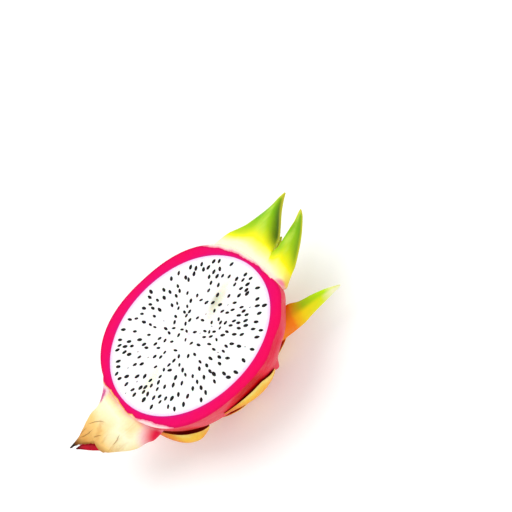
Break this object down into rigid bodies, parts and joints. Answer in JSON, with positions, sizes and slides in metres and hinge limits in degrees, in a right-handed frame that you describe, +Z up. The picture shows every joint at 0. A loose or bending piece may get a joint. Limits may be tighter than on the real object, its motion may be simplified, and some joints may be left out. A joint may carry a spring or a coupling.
{
  "type": "dragon fruit half",
  "caption": "Dragon fruit half, cut lengthwise: pink rind shell, white seeded flesh, green-tipped crown bracts, yellow scales and a dried stem husk, lying on its back.",
  "frame": {"origin": "centre of the small flat spot on the underside of the rind, on the surface that the fruit lies on", "axes": "+X along the fruit from the stem end to the crown, +Z up, square to the level cut face"},
  "size_m": [0.1764, 0.0953, 0.0464],
  "materials": {
    "rind": "waxy, satin",
    "flesh": "moist, satin",
    "husk": "dry, fibrous",
    "dark_skin": "satin",
    "crown_leaf": "waxy, satin",
    "bract": "waxy, satin"
  },
  "bodies": {
    "root": {"peel": "rind", "flesh": "flesh", "stem_end": "husk", "stem_scale": "dark_skin", "crown_leaf_tall": "crown_leaf", "crown_leaf_front": "crown_leaf", "crown_stub": "husk", "side_bract_crown": "crown_leaf", "crown_leaf_back": "crown_leaf", "crown_leaf_under": "crown_leaf", "side_bract_low": "bract", "side_bract_base": "bract", "back_bract_1": "bract", "back_bract_2": "bract", "back_bract_3": "bract", "back_bract_4": "bract", "back_bract_5": "bract", "back_bract_6": "bract", "back_bract_7": "bract", "back_bract_8": "bract", "back_bract_9": "bract"}
  },
  "joints": []
}
